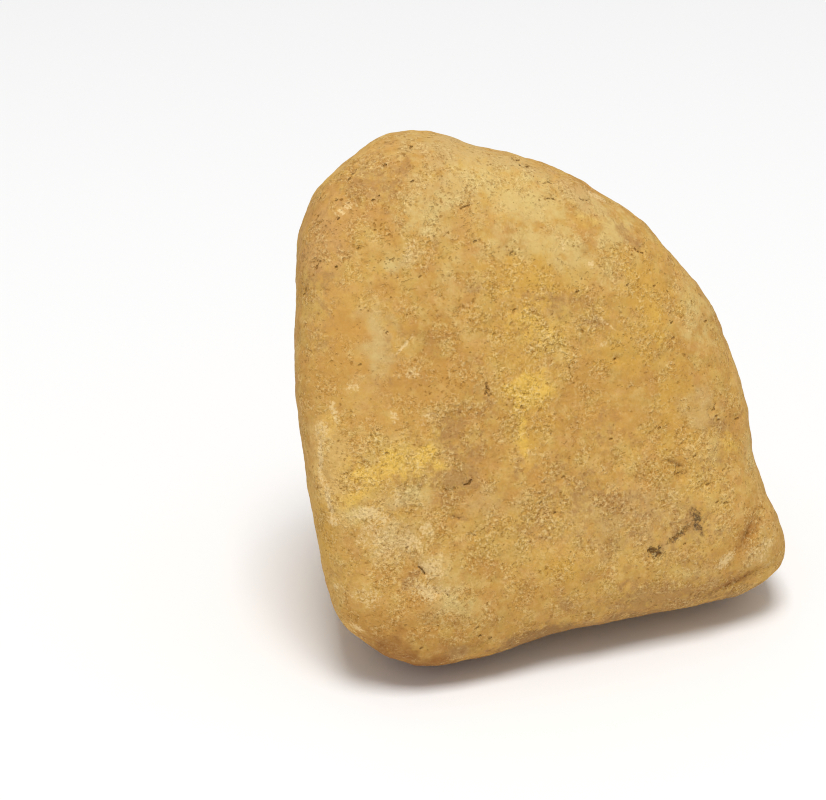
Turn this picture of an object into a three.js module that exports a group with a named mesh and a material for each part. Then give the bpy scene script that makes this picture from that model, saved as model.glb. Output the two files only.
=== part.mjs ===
// Aquascaping rock: one water-worn block of ochre sandstone that rests on a small flat spot.
//
// Everything is measured from a core point inside the stone. Its outline, as it shows along one line of
// sight, is carried along that line as a prism. Worn flats trim the prism at the front, back, top and
// underside, and one wear exponent rounds every edge where they meet. Swells, hollows and a groove then
// give the faces their slow relief, and the ground cuts the flat spot.
//
// Millimetres, +Z up, +X right, and the broad face looks towards -Y. The origin is on the flat spot,
// straight below the core.

import * as THREE from "three";
import { ImprovedNoise } from "three/addons/math/ImprovedNoise.js";
import { mergeVertices } from "three/addons/utils/BufferGeometryUtils.js";

// Driving dimensions
const SIGHT_PITCH = 28; // degrees that the line of sight looks down on the stone
const CORE_HEIGHT = 82; // core above the flat spot
const WEAR = 6; // higher is a sharper, less worn edge
const WEAR_PASSES = 2; // rounds of wear on the corners of the mesh
const MESH_DETAIL = 21; // splits of each edge of the starting icosahedron
const HALF_SPREAD = new THREE.Vector3(95, 75, 100); // half width, depth and height, to space the mesh evenly
const RELIEF_BLEND = 20; // depth over which the relief of the front gives way to that of the back

// Points on the prism's outline, [right, up] of the core across the line of sight, anticlockwise
const OUTLINE = [
  [91, 2], // right flank
  [82, 29],
  [66, 52], // shoulder
  [47, 72],
  [21, 91],
  [-12, 100], // shallow saddle beside the crown
  [-33, 108],
  [-46, 110], // crown
  [-58, 107],
  [-74, 95],
  [-86, 77], // upper left corner
  [-87, 55],
  [-88, 18], // left flank
  [-85, -15],
  [-80, -47],
  [-77, -68],
  [-69, -89], // lower left corner
  [-56, -108],
  [-33, -113], // chin
  [-12, -107],
  [6, -99], // hollow of the lower edge
  [39, -92],
  [78, -87],
  [101, -80], // toe
  [113, -61],
  [99, -32],
  [92, -13],
];

// Worn flats: the way each one faces, as [bearing, pitch] in degrees, and its distance from the core.
// Bearing 0 faces the viewer and turns to the right, and pitch is up from level.
const FLATS = [
  { name: "front face", facing: [18, 17], distance: 56 },
  { name: "upper slope", facing: [22, 52], distance: 104 },
  { name: "back", facing: [188, 12], distance: 62 },
  { name: "back left", facing: [-130, 5], distance: 88 },
  { name: "back right", facing: [128, 12], distance: 96 },
  { name: "underside", facing: [0, -90], distance: 86 },
];

// Slow relief: the line that its middle follows across the sight plane, how wide it spreads, and how far it
// stands out (swells) or goes in (hollows)
const RELIEF = [
  { name: "belly", side: "front", from: [-30, -10], to: [-15, -35], spread: 42, height: 2.5 },
  { name: "brow", side: "front", from: [5, 50], to: [35, 40], spread: 26, height: 1.5 },
  { name: "hollow below the brow", side: "front", from: [25, 0], to: [45, -15], spread: 20, height: -1.8 },
  { name: "chin ridge", side: "front", from: [-66, -82], to: [-22, -88], spread: 9, height: 1.2 },
  { name: "toe groove", side: "front", from: [96, -44], to: [84, -66], spread: 6, height: -2.2 },
  { name: "back swell", side: "back", from: [-25, 10], to: [5, 30], spread: 38, height: 3 },
  { name: "back hollow", side: "back", from: [35, -20], to: [50, -30], spread: 26, height: -3 },
];

// Lumps left all over by uneven wear: the length of one lump and how far it stands out
const LUMPS = [
  { length: 60, height: 1.6 },
  { length: 26, height: 0.7 },
];

const ROCK_FINISH = { color: 0xc99f5b, roughness: 0.9, metalness: 0 };

const radians = THREE.MathUtils.degToRad;

// The sight frame: right and up across the view, and towards the viewer
const right = new THREE.Vector3(1, 0, 0);
const up = new THREE.Vector3(0, Math.sin(radians(SIGHT_PITCH)), Math.cos(radians(SIGHT_PITCH)));
const towards = new THREE.Vector3().crossVectors(right, up);

function facing([bearing, pitch]) {
  const level = Math.cos(radians(pitch));
  return new THREE.Vector3(
    Math.sin(radians(bearing)) * level,
    -Math.cos(radians(bearing)) * level,
    Math.sin(radians(pitch)),
  );
}

const flats = FLATS.map((flat) => ({ normal: facing(flat.facing), distance: flat.distance }));

// The outline as a table of reach against angle, read off a smooth closed curve
const OUTLINE_STEPS = 720;
const outlineCurve = new THREE.CatmullRomCurve3(
  OUTLINE.map(([x, y]) => new THREE.Vector3(x, y, 0)),
  true,
);
const outline = outlineCurve
  .getPoints(OUTLINE_STEPS)
  .slice(0, OUTLINE_STEPS)
  .map((point) => ({ angle: Math.atan2(point.y, point.x), reach: Math.hypot(point.x, point.y) }))
  .sort((a, b) => a.angle - b.angle);

function outlineReach(angle) {
  const after = outline.findIndex((point) => point.angle > angle);
  const next = outline[Math.max(after, 0)];
  const last = outline.at(after - 1);
  const turn = 2 * Math.PI;
  const step = (next.angle - last.angle + turn) % turn;
  const along = ((angle - last.angle + turn) % turn) / step;
  return THREE.MathUtils.lerp(last.reach, next.reach, along);
}

// How far the worn block reaches from the core in one direction
function blockReach(direction) {
  const across = direction.dot(right);
  const above = direction.dot(up);
  let crowding = (Math.hypot(across, above) / outlineReach(Math.atan2(above, across))) ** WEAR;
  for (const { normal, distance } of flats) {
    crowding += Math.max(0, normal.dot(direction) / distance) ** WEAR;
  }
  return crowding ** (-1 / WEAR);
}

const reliefs = RELIEF.map(({ side, from, to, spread, height }) => ({
  line: new THREE.Line3(new THREE.Vector3(...from, 0), new THREE.Vector3(...to, 0)),
  side,
  spread,
  height,
}));

// How far the relief stands out of the block at one point of its surface
const noise = new ImprovedNoise();
function reliefAt(point) {
  const front = THREE.MathUtils.smoothstep(point.dot(towards), -RELIEF_BLEND / 2, RELIEF_BLEND / 2);
  const across = new THREE.Vector3(point.dot(right), point.dot(up), 0);
  const nearest = new THREE.Vector3();
  let height = 0;
  for (const relief of reliefs) {
    relief.line.closestPointToPoint(across, true, nearest);
    const share = relief.side === "front" ? front : 1 - front;
    height += share * relief.height * Math.exp(-((across.distanceTo(nearest) / relief.spread) ** 2));
  }
  for (const { length, height: lumpHeight } of LUMPS) {
    height += lumpHeight * noise.noise(point.x / length, point.y / length, point.z / length);
  }
  return height;
}

// One pass of wear: each corner of the mesh moves to the middle of the corners next to it
function wornPlaces(places, triangles) {
  const sums = places.map(() => new THREE.Vector3());
  const counts = places.map(() => 0);
  for (let i = 0; i < triangles.count; i += 3) {
    const corners = [triangles.getX(i), triangles.getX(i + 1), triangles.getX(i + 2)];
    for (const corner of corners) {
      for (const neighbour of corners) {
        if (neighbour === corner) continue;
        sums[corner].add(places[neighbour]);
        counts[corner] += 1;
      }
    }
  }
  return sums.map((sum, i) => sum.divideScalar(counts[i]));
}

function rockGeometry() {
  const sphere = new THREE.IcosahedronGeometry(1, MESH_DETAIL);
  sphere.deleteAttribute("normal");
  sphere.deleteAttribute("uv");
  const geometry = mergeVertices(sphere);
  const position = geometry.getAttribute("position");
  let places = Array.from({ length: position.count }, (_, i) => {
    const point = new THREE.Vector3().fromBufferAttribute(position, i).multiply(HALF_SPREAD).normalize();
    point.setLength(blockReach(point));
    return point.setLength(point.length() + reliefAt(point));
  });
  for (let pass = 0; pass < WEAR_PASSES; pass++) {
    places = wornPlaces(places, geometry.getIndex());
  }
  places.forEach(({ x, y, z }, i) => {
    position.setXYZ(i, x, y, Math.max(z, -CORE_HEIGHT) + CORE_HEIGHT);
  });
  geometry.computeVertexNormals();
  return geometry;
}

const rock = new THREE.Mesh(rockGeometry(), new THREE.MeshStandardMaterial(ROCK_FINISH));
rock.name = "rock";

const part = new THREE.Group();
part.add(rock);

export default part;
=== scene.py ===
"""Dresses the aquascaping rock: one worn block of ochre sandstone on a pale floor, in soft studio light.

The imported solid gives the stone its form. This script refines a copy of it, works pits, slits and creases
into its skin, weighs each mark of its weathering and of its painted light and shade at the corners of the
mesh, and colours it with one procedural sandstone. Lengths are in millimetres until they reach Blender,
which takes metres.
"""

import logging
import math
from dataclasses import dataclass, replace
from enum import Enum
from typing import Any, Union

import bmesh
import bpy
import numpy as np
from mathutils import Matrix, Vector, noise
from numpy.typing import NDArray


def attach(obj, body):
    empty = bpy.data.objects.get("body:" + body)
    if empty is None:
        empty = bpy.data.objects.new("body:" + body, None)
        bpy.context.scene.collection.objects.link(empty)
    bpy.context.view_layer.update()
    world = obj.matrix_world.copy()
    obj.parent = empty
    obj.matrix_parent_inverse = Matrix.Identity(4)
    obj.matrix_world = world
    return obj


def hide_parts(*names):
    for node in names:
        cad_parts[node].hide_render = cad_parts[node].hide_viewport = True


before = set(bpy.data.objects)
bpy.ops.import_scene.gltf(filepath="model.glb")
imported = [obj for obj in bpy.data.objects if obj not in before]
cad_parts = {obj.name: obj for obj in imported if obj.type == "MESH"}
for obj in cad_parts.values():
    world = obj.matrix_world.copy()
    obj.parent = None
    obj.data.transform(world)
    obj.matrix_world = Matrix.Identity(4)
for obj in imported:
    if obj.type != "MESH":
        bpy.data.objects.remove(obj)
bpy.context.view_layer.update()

log = logging.getLogger("aquascaping_rock")

MM = 0.001
NOISE_MIDDLE = 0.5

Points = NDArray[np.float64]
Place = tuple[float, float]
Colour = tuple[float, float, float, float]
Operand = Union["Wire", float]


def linear_colour(red: int, green: int, blue: int) -> Colour:
    """Turns a colour as it shows on a screen into the linear one that a shader takes.

    Args:
        red: Red from 0 to 255.
        green: Green from 0 to 255.
        blue: Blue from 0 to 255.

    Returns:
        The linear colour, with full opacity.
    """
    shares = (channel / 255 for channel in (red, green, blue))
    steps = (s / 12.92 if s <= 0.04045 else ((s + 0.055) / 1.055) ** 2.4 for s in shares)
    return (*steps, 1.0)


def smooth_step(values: Points, low: float, high: float) -> Points:
    """Eases values from 0 at low to 1 at high.

    Args:
        values: The values to ease.
        low: Where the rise starts.
        high: Where it ends.

    Returns:
        The eased values, from 0 to 1.
    """
    share = np.clip((values - low) / (high - low), 0, 1)
    return share * share * (3 - 2 * share)


class Side(Enum):
    """The half of the stone that a feature is on, seen along the line of sight."""

    FRONT = 1
    BACK = -1


class Mark(Enum):
    """A kind of weathering or of painted light and shade, with the name of the mesh attribute that holds
    its weight.
    """

    RUST = "rust"
    HONEY = "honey"
    MUSTARD = "mustard"
    BUFF = "buff"
    STRAW = "straw"
    CREAM = "cream"
    PLUM = "plum"
    # Painted contact shade at the foot and along the lower edge.
    CONTACT_SHADE = "contact_shade"
    UMBER = "umber"
    ROSE = "rose"
    CHALK = "chalk"
    MANGANESE = "manganese"
    POROUS = "porous"
    SANDY = "sandy"
    SMOOTH = "smooth"
    # Painted shade in the pits, slits and creases.
    PIT = "pit"


@dataclass(frozen=True)
class Sight:
    """The line of sight along which the stone is seen, and the places that it gives.

    A place on the stone is (right, up) of the core, where it shows on the upright plane through the core
    that faces the viewer.
    """

    pitch_degrees: float = 28.0
    core_height: float = 82.0
    distance: float = 1000.0
    pixel: float = 0.4
    core_pixel: Place = (520.0, 405.0)
    picture_pixels: Place = (826.0, 800.0)
    sensor: float = 36.0

    @property
    def core(self) -> Points:
        """The point inside the stone that places are measured from."""
        return np.array((0.0, 0.0, self.core_height))

    @property
    def right(self) -> Points:
        """The direction to the right across the view."""
        return np.array((1.0, 0.0, 0.0))

    @property
    def up(self) -> Points:
        """The direction up across the view."""
        pitch = math.radians(self.pitch_degrees)
        return np.array((0.0, math.sin(pitch), math.cos(pitch)))

    @property
    def towards(self) -> Points:
        """The direction to the viewer."""
        return np.cross(self.right, self.up)

    @property
    def eye(self) -> Points:
        """Where the viewer is, so that the core shows at its pixel and the view isn't shifted."""
        middle_x, middle_y = (side / 2 for side in self.picture_pixels)
        aside = (middle_x - self.core_pixel[0]) * self.pixel
        above = (self.core_pixel[1] - middle_y) * self.pixel
        return self.core + self.towards * self.distance + self.right * aside + self.up * above

    @property
    def lens(self) -> float:
        """The focal length that shows one pixel at its size on the core."""
        return self.sensor * self.distance / (self.pixel * self.picture_pixels[0])

    def across(self, turn_degrees: float) -> Points:
        """Works out a direction across the view.

        Args:
            turn_degrees: How far it is turned up from the right.

        Returns:
            The direction.
        """
        turn = math.radians(turn_degrees)
        return self.right * math.cos(turn) + self.up * math.sin(turn)

    def shown(self, points: Points) -> Points:
        """Works out where points show.

        Args:
            points: Points of the stone, one a row.

        Returns:
            Their (right, up) places, one a row.
        """
        away = points - self.eye
        share = self.distance / -(away @ self.towards)
        offset = self.eye - self.core
        across = (away @ self.right) * share + offset @ self.right
        above = (away @ self.up) * share + offset @ self.up
        return np.stack((across, above), axis=1)


@dataclass(frozen=True)
class Stain:
    """One patch of a mark: an ellipsoid of influence about a point of the skin."""

    name: str
    at: Place
    half_size: Place
    strength: float = 1.0
    turn_degrees: float = 0.0


StainsByMark = dict[Mark, tuple[Stain, ...]]


@dataclass(frozen=True)
class Dent:
    """A pit, slit, crease or hollow along a path in the skin, and how much shade is painted into its
    bottom.

    A depth below 0 makes it a swell.
    """

    name: str
    path: tuple[Place, ...]
    width: float
    depth: float
    dark: float = 1.0

    def moved(self, by: Place) -> "Dent":
        """Makes the same dent somewhere else.

        Args:
            by: How far right and up it moves.

        Returns:
            The moved dent.
        """
        path = tuple((across + by[0], above + by[1]) for across, above in self.path)
        return replace(self, path=path)


@dataclass(frozen=True)
class Scatter:
    """Pits scattered over the whole skin by chance, with the least and the most of each size, and how much
    shade is painted into them.
    """

    seed: int
    count: int
    radius: Place
    depth: Place
    dark: float


@dataclass(frozen=True)
class Lump:
    """Uneven wear all over: the length of one lump, how far it stands out and where its noise starts."""

    length: float
    height: float
    start: Place


@dataclass(frozen=True)
class Skin:
    """The corners of the stone's mesh: where they are, their normals, and how the viewer sees them.

    A corner's facing is 1 where it looks straight at the viewer and -1 where it looks straight away.
    """

    points: Points
    normals: Points
    shown: Points
    facing: Points


class Wire:
    """An output of a shader node that takes part in Python expressions."""

    def __init__(self, tree: "ShaderTree", socket: bpy.types.NodeSocket) -> None:
        """Keeps the tree that new nodes go into and the socket that this wire starts from."""
        self.tree = tree
        self.socket = socket

    def _joined(self, operation: str, first: Operand, second: Operand) -> "Wire":
        """Adds the node for one operation.

        Args:
            operation: The node's operation.
            first: What stands before the operator.
            second: What stands after it.

        Returns:
            The result, a vector if this wire is one and a value otherwise.
        """
        if self.socket.type == "VECTOR":
            operands = [(x, x, x) if isinstance(x, (int, float)) else x for x in (first, second)]
            sockets = dict(enumerate(operands))
            return self.tree.node("ShaderNodeVectorMath", {"operation": operation}, sockets)
        return self.tree.node("ShaderNodeMath", {"operation": operation}, {0: first, 1: second})

    def __add__(self, other: Operand) -> "Wire":
        """Adds."""
        return self._joined("ADD", self, other)

    def __radd__(self, other: Operand) -> "Wire":
        """Adds to a number."""
        return self._joined("ADD", other, self)

    def __sub__(self, other: Operand) -> "Wire":
        """Takes away."""
        return self._joined("SUBTRACT", self, other)

    def __rsub__(self, other: Operand) -> "Wire":
        """Takes away from a number."""
        return self._joined("SUBTRACT", other, self)

    def __mul__(self, other: Operand) -> "Wire":
        """Multiplies."""
        return self._joined("MULTIPLY", self, other)

    def __abs__(self) -> "Wire":
        """Drops the sign."""
        return self._joined("ABSOLUTE", self, 0.0)


@dataclass(frozen=True)
class Noise:
    """A shader noise: where it starts, how long its largest lumps are, and its finer layers."""

    start: float
    length: float
    layers: float
    roughness: float = 0.5


class ShaderTree:
    """The nodes of one material."""

    def __init__(self, name: str) -> None:
        """Makes an empty material of that name."""
        self.material = bpy.data.materials.new(name)
        self.material.use_nodes = True
        self.material.node_tree.nodes.clear()

    @staticmethod
    def _socket(sockets: bpy.types.bpy_prop_collection, key: Union[str, int]) -> bpy.types.NodeSocket:
        """Finds a socket by its number, or by its name among those in use."""
        if isinstance(key, int):
            return sockets[key]
        return next(socket for socket in sockets if socket.enabled and socket.name == key)

    def node(
        self,
        kind: str,
        settings: dict[str, Any],
        sockets: dict[Union[str, int], Any],
        output: Union[str, int] = 0,
    ) -> Wire:
        """Adds a node.

        Args:
            kind: The node's type.
            settings: Its settings, set first.
            sockets: The values or wires of its inputs, by name or number.
            output: The output that is wanted.

        Returns:
            That output.
        """
        made = self.material.node_tree.nodes.new(kind)
        for name, value in settings.items():
            setattr(made, name, value)
        for key, value in sockets.items():
            socket = self._socket(made.inputs, key)
            if isinstance(value, Wire):
                self.material.node_tree.links.new(value.socket, socket)
            else:
                socket.default_value = value
        if not made.outputs:
            return Wire(self, made.inputs[0])
        return Wire(self, self._socket(made.outputs, output))

    def weight(self, mark: Mark) -> Wire:
        """Reads a mark's weight from the mesh."""
        return self.node("ShaderNodeAttribute", {"attribute_name": mark.value}, {}, "Fac")

    def noise(self, place: Wire, kind: Noise) -> Wire:
        """Adds a noise.

        Args:
            place: Where it is read.
            kind: What it is like.

        Returns:
            Its value, mostly between 0.2 and 0.8.
        """
        sockets = {
            "Vector": place + kind.start,
            "Scale": 1 / kind.length,
            "Detail": kind.layers,
            "Roughness": kind.roughness,
        }
        return self.node("ShaderNodeTexNoise", {}, sockets, "Fac")

    def step(self, value: Wire, low: float, high: float) -> Wire:
        """Eases a value.

        Args:
            value: The value to ease.
            low: Where the result is 0.
            high: Where the result is 1. It may be below low.

        Returns:
            The eased value.
        """
        sockets = {"Value": value, "From Min": low, "From Max": high}
        return self.node("ShaderNodeMapRange", {"interpolation_type": "SMOOTHSTEP"}, sockets, "Result")

    def mix(self, under: Union[Wire, Colour], over: Colour, share: Wire) -> Wire:
        """Mixes two colours.

        Args:
            under: The colour below.
            over: The colour above.
            share: How much of the colour above shows.

        Returns:
            The mixed colour.
        """
        settings = {"data_type": "RGBA", "clamp_factor": True}
        return self.node("ShaderNodeMix", settings, {"Factor": share, "A": under, "B": over}, "Result")


@dataclass(frozen=True)
class Mottle:
    """A layer of clouds in the stone's own colour.

    The high colour shows where its noise is above the middle and the low colour where it is below, in full
    at the reach.
    """

    noise: Noise
    reach: float
    high: Colour
    high_share: float
    low: Colour
    low_share: float


@dataclass(frozen=True)
class Tint:
    """How a mark colours the stone.

    Its weight is broken up by a noise of the fleck length. The breakup is how far the noise reaches, and
    the edge is how softly a fleck ends.
    """

    mark: Mark
    colour: Colour
    cover: float
    fleck_length: float
    breakup: float
    edge: float


DUSK = linear_colour(180, 134, 72)
PALE_SAND = linear_colour(222, 184, 112)
BLUSH = linear_colour(206, 152, 92)
OLIVE = linear_colour(206, 172, 94)


@dataclass(frozen=True)
class Sandstone:
    """The stone's finish: ochre sandstone with iron stains, grit, open pores and chalky scuffs, and light
    and shade painted into its grit, pits, pores and edges.

    A range is where a value starts to count and where it counts in full.
    """

    name: str = "weathered_sandstone"
    roughness: float = 0.92
    specular: float = 0.25
    bump_height: float = 0.7

    # The stone's own colour
    amber: Colour = linear_colour(197, 147, 70)
    gold: Colour = linear_colour(213, 168, 85)
    gold_noise: Noise = Noise(0.0, 40.0, 4.0, 0.6)
    gold_range: Place = (0.36, 0.64)
    mottles: tuple[Mottle, ...] = (
        Mottle(Noise(31.0, 11.0, 6.0, 0.7), 0.2, DUSK, 0.68, PALE_SAND, 0.64),
        Mottle(Noise(41.0, 4.5, 3.0, 0.6), 0.2, DUSK, 0.5, PALE_SAND, 0.5),
        Mottle(Noise(83.0, 7.0, 4.0, 0.6), 0.15, BLUSH, 0.3, OLIVE, 0.45),
    )

    # The marks, among them painted light and shade, from the lowest to the uppermost
    tints: tuple[Tint, ...] = (
        Tint(Mark.BUFF, linear_colour(208, 175, 114), 0.8, 4.0, 1.8, 0.45),
        Tint(Mark.STRAW, linear_colour(219, 192, 124), 0.75, 4.0, 1.8, 0.45),
        Tint(Mark.CREAM, linear_colour(224, 184, 110), 0.8, 4.0, 1.8, 0.45),
        Tint(Mark.ROSE, linear_colour(205, 157, 95), 0.75, 4.0, 1.8, 0.45),
        Tint(Mark.RUST, linear_colour(202, 148, 72), 0.7, 4.0, 1.8, 0.45),
        Tint(Mark.HONEY, linear_colour(211, 163, 72), 0.75, 4.0, 1.8, 0.45),
        # Plum marks, and painted shade at the left edge, the upper left, the low edge and the lower right.
        Tint(Mark.PLUM, linear_colour(174, 130, 78), 0.7, 2.6, 2.4, 0.35),
        # The painted contact shade along the foot and the lower edge, where the stone meets the floor.
        Tint(Mark.CONTACT_SHADE, linear_colour(152, 113, 66), 0.85, 4.0, 2.2, 0.35),
        # Umber marks, and the painted shade under the chin, where it meets the floor.
        Tint(Mark.UMBER, linear_colour(146, 94, 42), 0.85, 4.0, 1.2, 0.5),
        Tint(Mark.MUSTARD, linear_colour(241, 196, 88), 0.75, 4.0, 1.8, 0.45),
        Tint(Mark.CHALK, linear_colour(239, 207, 147), 0.78, 1.1, 3.8, 0.35),
        Tint(Mark.MANGANESE, linear_colour(70, 50, 32), 0.85, 1.6, 3.0, 0.3),
    )
    fleck_start: float = 17.0
    fleck_layers: float = 4.0
    fleck_roughness: float = 0.7
    breakup_range: Place = (0.0, 0.4)
    half_cover: float = 0.5

    # Grains of sand, pale and dark, with painted light on the ridges and tops and painted shade in the
    # furrows and gaps; the dark colour is also the shade painted into pits and pores
    bright: Colour = linear_colour(248, 218, 152)
    dark: Colour = linear_colour(142, 92, 8)
    grit_noise: Noise = Noise(53.0, 9.0, 5.0, 0.65)
    grit_range: Place = (0.46, 0.57)
    grit_least: float = 0.15
    grit_in_patches: float = 0.75
    grit_in_sand: float = 0.5
    grit_worn_off: float = 0.8
    crinkle_noise: Noise = Noise(3.0, 1.6, 1.0)
    crinkle_offset: float = 0.04
    crinkle_range: Place = (0.07, 0.01)
    crinkle_bright: float = 0.22
    crinkle_dark: float = 0.3
    grain_noise: Noise = Noise(7.0, 1.2, 1.5, 0.55)
    grain_bright_range: Place = (0.03, 0.2)
    grain_bright: float = 0.43
    grain_dark_range: Place = (-0.04, -0.24)
    grain_dark: float = 0.48

    # Pits and pores, with shade painted into them
    pit_noise: Noise = Noise(29.0, 1.0, 1.0)
    pit_raggedness: float = 1.4
    pit_range: Place = (0.2, 0.9)
    pit_dark: float = 0.55
    crowd_noise: Noise = Noise(11.0, 9.0, 4.0, 0.65)
    crowd_range: Place = (0.44, 0.62)
    crowd_least: float = 0.4
    crowd_in_porous: float = 0.6
    crowd_worn_off: float = 0.8
    # How much painted shade the pores get, more in patches.
    pore_shade_noise: Noise = Noise(67.0, 4.0, 2.0)
    pore_shade_range: Place = (0.35, 0.7)
    pore_shade_least: float = 0.12
    pore_shade_more: float = 0.45
    pore_noises: tuple[Noise, ...] = (Noise(10.8, 1.2, 1.5), Noise(17.1, 1.9, 1.5))
    pore_range: Place = (0.34, 0.22)
    pore_crowding: float = 0.14
    pore_depth: float = 0.25
    bedding_degrees: float = 35.0
    bedding_stretch: float = 1.2

    def material(self, sight: Sight) -> bpy.types.Material:
        """Builds the material.

        Args:
            sight: The line of sight, across which the bedding runs.

        Returns:
            The finished material.
        """
        tree = ShaderTree(self.name)
        place = tree.node("ShaderNodeTexCoord", {}, {}, "Object") * (1 / MM)
        colour = self._stained(tree, place, self._body(tree, place))
        colour, grit = self._gritted(tree, place, colour)
        colour, holes = self._pored(tree, place, self._bedded(tree, place, sight), colour)
        bump_sockets = {"Strength": 1.0, "Distance": self.bump_height * MM, "Height": grit - holes}
        shader_sockets = {
            "Base Color": colour,
            "Roughness": self.roughness,
            "Specular IOR Level": self.specular,
            "Normal": tree.node("ShaderNodeBump", {}, bump_sockets),
        }
        shader = tree.node("ShaderNodeBsdfPrincipled", {}, shader_sockets)
        tree.node("ShaderNodeOutputMaterial", {}, {"Surface": shader})
        return tree.material

    def _bedded(self, tree: ShaderTree, place: Wire, sight: Sight) -> Wire:
        """Stretches places along the stone's bedding, so that pores become short slits.

        Args:
            tree: The material's nodes.
            place: The places.
            sight: The line of sight, across which the bedding runs.

        Returns:
            The stretched places.
        """
        along = Vector(sight.across(self.bedding_degrees))
        sockets = {
            "Vector": place,
            "Rotation": along.to_track_quat("X", "Z").to_euler(),
            "Scale": (self.bedding_stretch, 1.0, 1.0),
        }
        return tree.node("ShaderNodeMapping", {"vector_type": "TEXTURE"}, sockets)

    def _body(self, tree: ShaderTree, place: Wire) -> Wire:
        """Mottles the stone's own colour.

        Args:
            tree: The material's nodes.
            place: Where the colour is read.

        Returns:
            The colour.
        """
        golden = tree.step(tree.noise(place, self.gold_noise), *self.gold_range)
        colour = tree.mix(self.amber, self.gold, golden)
        for mottle in self.mottles:
            cloud = tree.noise(place, mottle.noise)
            high = tree.step(cloud, NOISE_MIDDLE, NOISE_MIDDLE + mottle.reach)
            low = tree.step(cloud, NOISE_MIDDLE, NOISE_MIDDLE - mottle.reach)
            colour = tree.mix(colour, mottle.high, high * mottle.high_share)
            colour = tree.mix(colour, mottle.low, low * mottle.low_share)
        return colour

    def _stained(self, tree: ShaderTree, place: Wire, colour: Wire) -> Wire:
        """Lays the marks over the stone's own colour.

        Args:
            tree: The material's nodes.
            place: Where the colour is read.
            colour: The stone's own colour.

        Returns:
            The stained colour.
        """
        ragged = {}
        for length in sorted({tint.fleck_length for tint in self.tints}):
            flecks = Noise(self.fleck_start * length, length, self.fleck_layers, self.fleck_roughness)
            ragged[length] = tree.noise(place, flecks) - NOISE_MIDDLE
        for tint in self.tints:
            weight = tree.weight(tint.mark)
            shift = ragged[tint.fleck_length] * tree.step(weight, *self.breakup_range) * tint.breakup
            share = tree.step(weight + shift, self.half_cover - tint.edge, self.half_cover + tint.edge)
            colour = tree.mix(colour, tint.colour, share * tint.cover)
        return colour

    def _gritted(self, tree: ShaderTree, place: Wire, colour: Wire) -> tuple[Wire, Wire]:
        """Adds the grains of sand, which stand out in patches: pale and dark grains, with painted light on
        the crinkle ridges and grain tops and painted shade in the furrows and gaps.

        Args:
            tree: The material's nodes.
            place: Where the patches and the grains are read.
            colour: The stained colour.

        Returns:
            The colour with its grains, and their height.
        """
        patch = tree.step(tree.noise(place, self.grit_noise), *self.grit_range)
        sandy = tree.weight(Mark.SANDY)
        loose = 1.0 - tree.weight(Mark.SMOOTH) * self.grit_worn_off
        rough = (self.grit_least + patch * self.grit_in_patches + sandy * self.grit_in_sand) * loose
        crinkle = tree.noise(place, self.crinkle_noise) - NOISE_MIDDLE
        ridges = tree.step(abs(crinkle - self.crinkle_offset), *self.crinkle_range)
        furrows = tree.step(abs(crinkle + self.crinkle_offset), *self.crinkle_range)
        # Pale grains and painted light on the crinkle ridges; dark grains and painted shade in the furrows.
        colour = tree.mix(colour, self.bright, ridges * rough * self.crinkle_bright)
        colour = tree.mix(colour, self.dark, furrows * rough * self.crinkle_dark)
        grain = tree.noise(place, self.grain_noise) - NOISE_MIDDLE
        tops = tree.step(grain, *self.grain_bright_range)
        gaps = tree.step(grain, *self.grain_dark_range)
        # Pale grains and painted light on the grain tops; dark grains and painted shade in the gaps.
        colour = tree.mix(colour, self.bright, tops * rough * self.grain_bright)
        colour = tree.mix(colour, self.dark, gaps * rough * self.grain_dark)
        return colour, (crinkle + grain) * rough

    def _pored(self, tree: ShaderTree, place: Wire, bedded: Wire, colour: Wire) -> tuple[Wire, Wire]:
        """Paints shade into the pits, and opens the pores, which crowd together in places and are darkened
        with painted shade.

        Args:
            tree: The material's nodes.
            place: Where the pits and the crowding are read.
            bedded: Where the pores are read.
            colour: The gritty colour.

        Returns:
            The colour with the painted shade of its pits and pores, and their depth.
        """
        ragged = tree.noise(place, self.pit_noise) - NOISE_MIDDLE
        # Painted shade: the pits, slits and creases darker at their bottoms.
        depth = tree.step(tree.weight(Mark.PIT) + ragged * self.pit_raggedness, *self.pit_range)
        colour = tree.mix(colour, self.dark, depth * self.pit_dark)
        crowd = tree.step(tree.noise(place, self.crowd_noise), *self.crowd_range)
        crowd = crowd * (self.crowd_least + tree.weight(Mark.POROUS) * self.crowd_in_porous)
        crowd = crowd - tree.weight(Mark.SMOOTH) * self.crowd_worn_off
        pore_shade = tree.step(tree.noise(place, self.pore_shade_noise), *self.pore_shade_range)
        pore_shade = pore_shade * self.pore_shade_more + self.pore_shade_least
        # Painted shade in the pores.
        for pores in self.pore_noises:
            skin = tree.noise(bedded, pores) - crowd * self.pore_crowding
            holes = tree.step(skin, *self.pore_range)
            colour = tree.mix(colour, self.dark, holes * pore_shade)
            depth = depth + holes * self.pore_depth
        return colour, depth


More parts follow.
